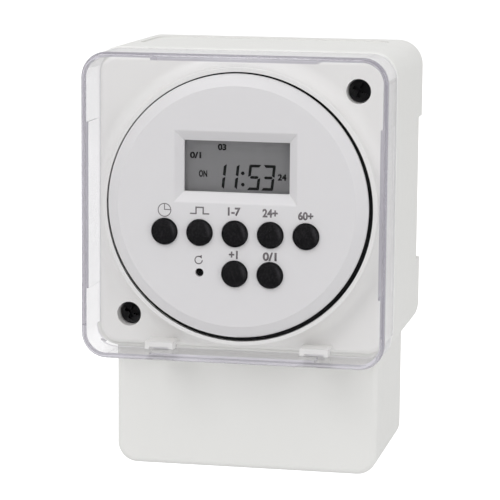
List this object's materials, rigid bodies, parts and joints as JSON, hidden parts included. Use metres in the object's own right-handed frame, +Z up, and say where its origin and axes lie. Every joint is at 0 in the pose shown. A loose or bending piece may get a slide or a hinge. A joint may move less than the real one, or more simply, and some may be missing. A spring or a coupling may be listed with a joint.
{
  "type": "electronic timer",
  "caption": "Square electronic time switch with a round digital dial under a hinged clear cover and a slide-off terminal cover.",
  "frame": {"origin": "centre of the wall screw pattern in the rear mounting plane, which is also the rail's centreline", "axes": "+X to the right seen from the front, +Y towards the wall, +Z up"},
  "size_m": [0.072, 0.0565, 0.1012],
  "materials": {
    "white_plastic": "fine satin",
    "dial_plastic": "fine matt",
    "clear_plastic": "clear and polished",
    "key_rubber": "matt",
    "pale_rubber": "matt",
    "grommet_rubber": "matt",
    "black_plastic": "satin",
    "display_glass": "polished",
    "frame_plastic": "satin",
    "board": "lacquered",
    "bright_steel": "bright plated",
    "relay_plastic": "satin",
    "winding": "enamelled wire",
    "contact_metal": "bright",
    "film_case": "glossy",
    "can": "sleeved can",
    "disc_coating": "dipped",
    "resistor_coating": "dipped",
    "latch_plastic": "satin"
  },
  "bodies": {
    "base": {"main_housing": "white_plastic", "mounting_base": "white_plastic", "front_frame": "white_plastic", "module_screws": "bright_steel", "dial_face": "dial_plastic", "keypad_mat": "pale_rubber", "lcd_window": "clear_plastic", "lcd_panel": "display_glass", "lcd_frame": "frame_plastic", "contact_strips": "pale_rubber", "display_board": "board", "display_board_screws": "bright_steel", "reset_switch": "black_plastic", "controller_chip": "black_plastic", "clock_crystal": "bright_steel", "backup_cell": "bright_steel", "cell_strap": "bright_steel", "board_connector": "black_plastic", "module_cup": "black_plastic", "power_board": "board", "power_board_screws": "bright_steel", "relay_case": "relay_plastic", "relay_base": "black_plastic", "relay_coil": "winding", "relay_yoke": "bright_steel", "relay_contact": "contact_metal", "film_capacitor": "film_case", "can_capacitor": "can", "varistor": "disc_coating", "fuse_resistor": "resistor_coating", "rectifier_diodes": "black_plastic", "module_pins": "contact_metal", "pin_sockets": "contact_metal", "terminal_block": "white_plastic", "cable_grommets": "grommet_rubber", "latch_spring": "bright_steel"},
    "cover": {"clear_cover": "clear_plastic"},
    "key_1": {"key_1": "key_rubber"},
    "key_2": {"key_2": "key_rubber"},
    "key_3": {"key_3": "key_rubber"},
    "key_4": {"key_4": "key_rubber"},
    "key_5": {"key_5": "key_rubber"},
    "key_6": {"key_6": "key_rubber"},
    "key_7": {"key_7": "key_rubber"},
    "reset": {"reset_plunger": "black_plastic"},
    "terminal_cover": {"terminal_cover": "white_plastic"},
    "latch": {"rail_latch": "latch_plastic"},
    "armature": {"relay_armature": "bright_steel"},
    "screw_1": {"terminal_screw_1": "bright_steel"},
    "cage_1": {"clamp_cage_1": "bright_steel"},
    "screw_2": {"terminal_screw_2": "bright_steel"},
    "cage_2": {"clamp_cage_2": "bright_steel"},
    "screw_3": {"terminal_screw_3": "bright_steel"},
    "cage_3": {"clamp_cage_3": "bright_steel"},
    "screw_4": {"terminal_screw_4": "bright_steel"},
    "cage_4": {"clamp_cage_4": "bright_steel"},
    "screw_5": {"terminal_screw_5": "bright_steel"},
    "cage_5": {"clamp_cage_5": "bright_steel"}
  },
  "joints": [
    {"name": "cover_hinge", "type": "hinge", "parent": "base", "child": "cover", "pos_m": [0, -0.0466, -0.03385], "axis": [1, 0, 0], "range_deg": [0, 95]},
    {"name": "key_1_press", "type": "slide", "parent": "base", "child": "key_1", "axis": [0, 1, 0], "range_m": [0, 0.0008], "stiffness_N_per_m": 800, "springref_m": -0.0005},
    {"name": "key_2_press", "type": "slide", "parent": "base", "child": "key_2", "axis": [0, 1, 0], "range_m": [0, 0.0008], "stiffness_N_per_m": 800, "springref_m": -0.0005},
    {"name": "key_3_press", "type": "slide", "parent": "base", "child": "key_3", "axis": [0, 1, 0], "range_m": [0, 0.0008], "stiffness_N_per_m": 800, "springref_m": -0.0005},
    {"name": "key_4_press", "type": "slide", "parent": "base", "child": "key_4", "axis": [0, 1, 0], "range_m": [0, 0.0008], "stiffness_N_per_m": 800, "springref_m": -0.0005},
    {"name": "key_5_press", "type": "slide", "parent": "base", "child": "key_5", "axis": [0, 1, 0], "range_m": [0, 0.0008], "stiffness_N_per_m": 800, "springref_m": -0.0005},
    {"name": "key_6_press", "type": "slide", "parent": "base", "child": "key_6", "axis": [0, 1, 0], "range_m": [0, 0.0008], "stiffness_N_per_m": 800, "springref_m": -0.0005},
    {"name": "key_7_press", "type": "slide", "parent": "base", "child": "key_7", "axis": [0, 1, 0], "range_m": [0, 0.0008], "stiffness_N_per_m": 800, "springref_m": -0.0005},
    {"name": "reset_press", "type": "slide", "parent": "base", "child": "reset", "axis": [0, 1, 0], "range_m": [0, 0.0006], "stiffness_N_per_m": 800, "springref_m": -0.0004},
    {"name": "terminal_cover_slide", "type": "slide", "parent": "base", "child": "terminal_cover", "axis": [0, 0, -1], "range_m": [0, 0.028]},
    {"name": "latch_slide", "type": "slide", "parent": "base", "child": "latch", "axis": [0, 0, -1], "range_m": [0, 0.0025], "stiffness_N_per_m": 800, "springref_m": -0.003, "deforming": ["latch_spring"]},
    {"name": "armature_tilt", "type": "hinge", "parent": "base", "child": "armature", "pos_m": [0.0004, -0.0197, 0.006], "axis": [0, 0, 1], "range_deg": [0, 3.4], "stiffness_Nm_per_rad": 0.02, "springref_deg": -4.58},
    {"name": "screw_1_turn", "type": "hinge", "parent": "base", "child": "screw_1", "pos_m": [-0.0208, -0.02, -0.046], "axis": [0, 1, 0], "range_deg": [0, 1750]},
    {"name": "cage_1_slide", "type": "slide", "parent": "base", "child": "cage_1", "axis": [0, -1, 0], "range_m": [0, 0.0028]},
    {"name": "screw_2_turn", "type": "hinge", "parent": "base", "child": "screw_2", "pos_m": [-0.0104, -0.02, -0.046], "axis": [0, 1, 0], "range_deg": [0, 1750]},
    {"name": "cage_2_slide", "type": "slide", "parent": "base", "child": "cage_2", "axis": [0, -1, 0], "range_m": [0, 0.0028]},
    {"name": "screw_3_turn", "type": "hinge", "parent": "base", "child": "screw_3", "pos_m": [0, -0.02, -0.046], "axis": [0, 1, 0], "range_deg": [0, 1750]},
    {"name": "cage_3_slide", "type": "slide", "parent": "base", "child": "cage_3", "axis": [0, -1, 0], "range_m": [0, 0.0028]},
    {"name": "screw_4_turn", "type": "hinge", "parent": "base", "child": "screw_4", "pos_m": [0.0104, -0.02, -0.046], "axis": [0, 1, 0], "range_deg": [0, 1750]},
    {"name": "cage_4_slide", "type": "slide", "parent": "base", "child": "cage_4", "axis": [0, -1, 0], "range_m": [0, 0.0028]},
    {"name": "screw_5_turn", "type": "hinge", "parent": "base", "child": "screw_5", "pos_m": [0.0208, -0.02, -0.046], "axis": [0, 1, 0], "range_deg": [0, 1750]},
    {"name": "cage_5_slide", "type": "slide", "parent": "base", "child": "cage_5", "axis": [0, -1, 0], "range_m": [0, 0.0028]}
  ],
  "couplings": [
    {"joint": "screw_1_turn", "follows": "cage_1_slide", "rad_per_m": 10472},
    {"joint": "screw_2_turn", "follows": "cage_2_slide", "rad_per_m": 10472},
    {"joint": "screw_3_turn", "follows": "cage_3_slide", "rad_per_m": 10472},
    {"joint": "screw_4_turn", "follows": "cage_4_slide", "rad_per_m": 10472},
    {"joint": "screw_5_turn", "follows": "cage_5_slide", "rad_per_m": 10472}
  ]
}
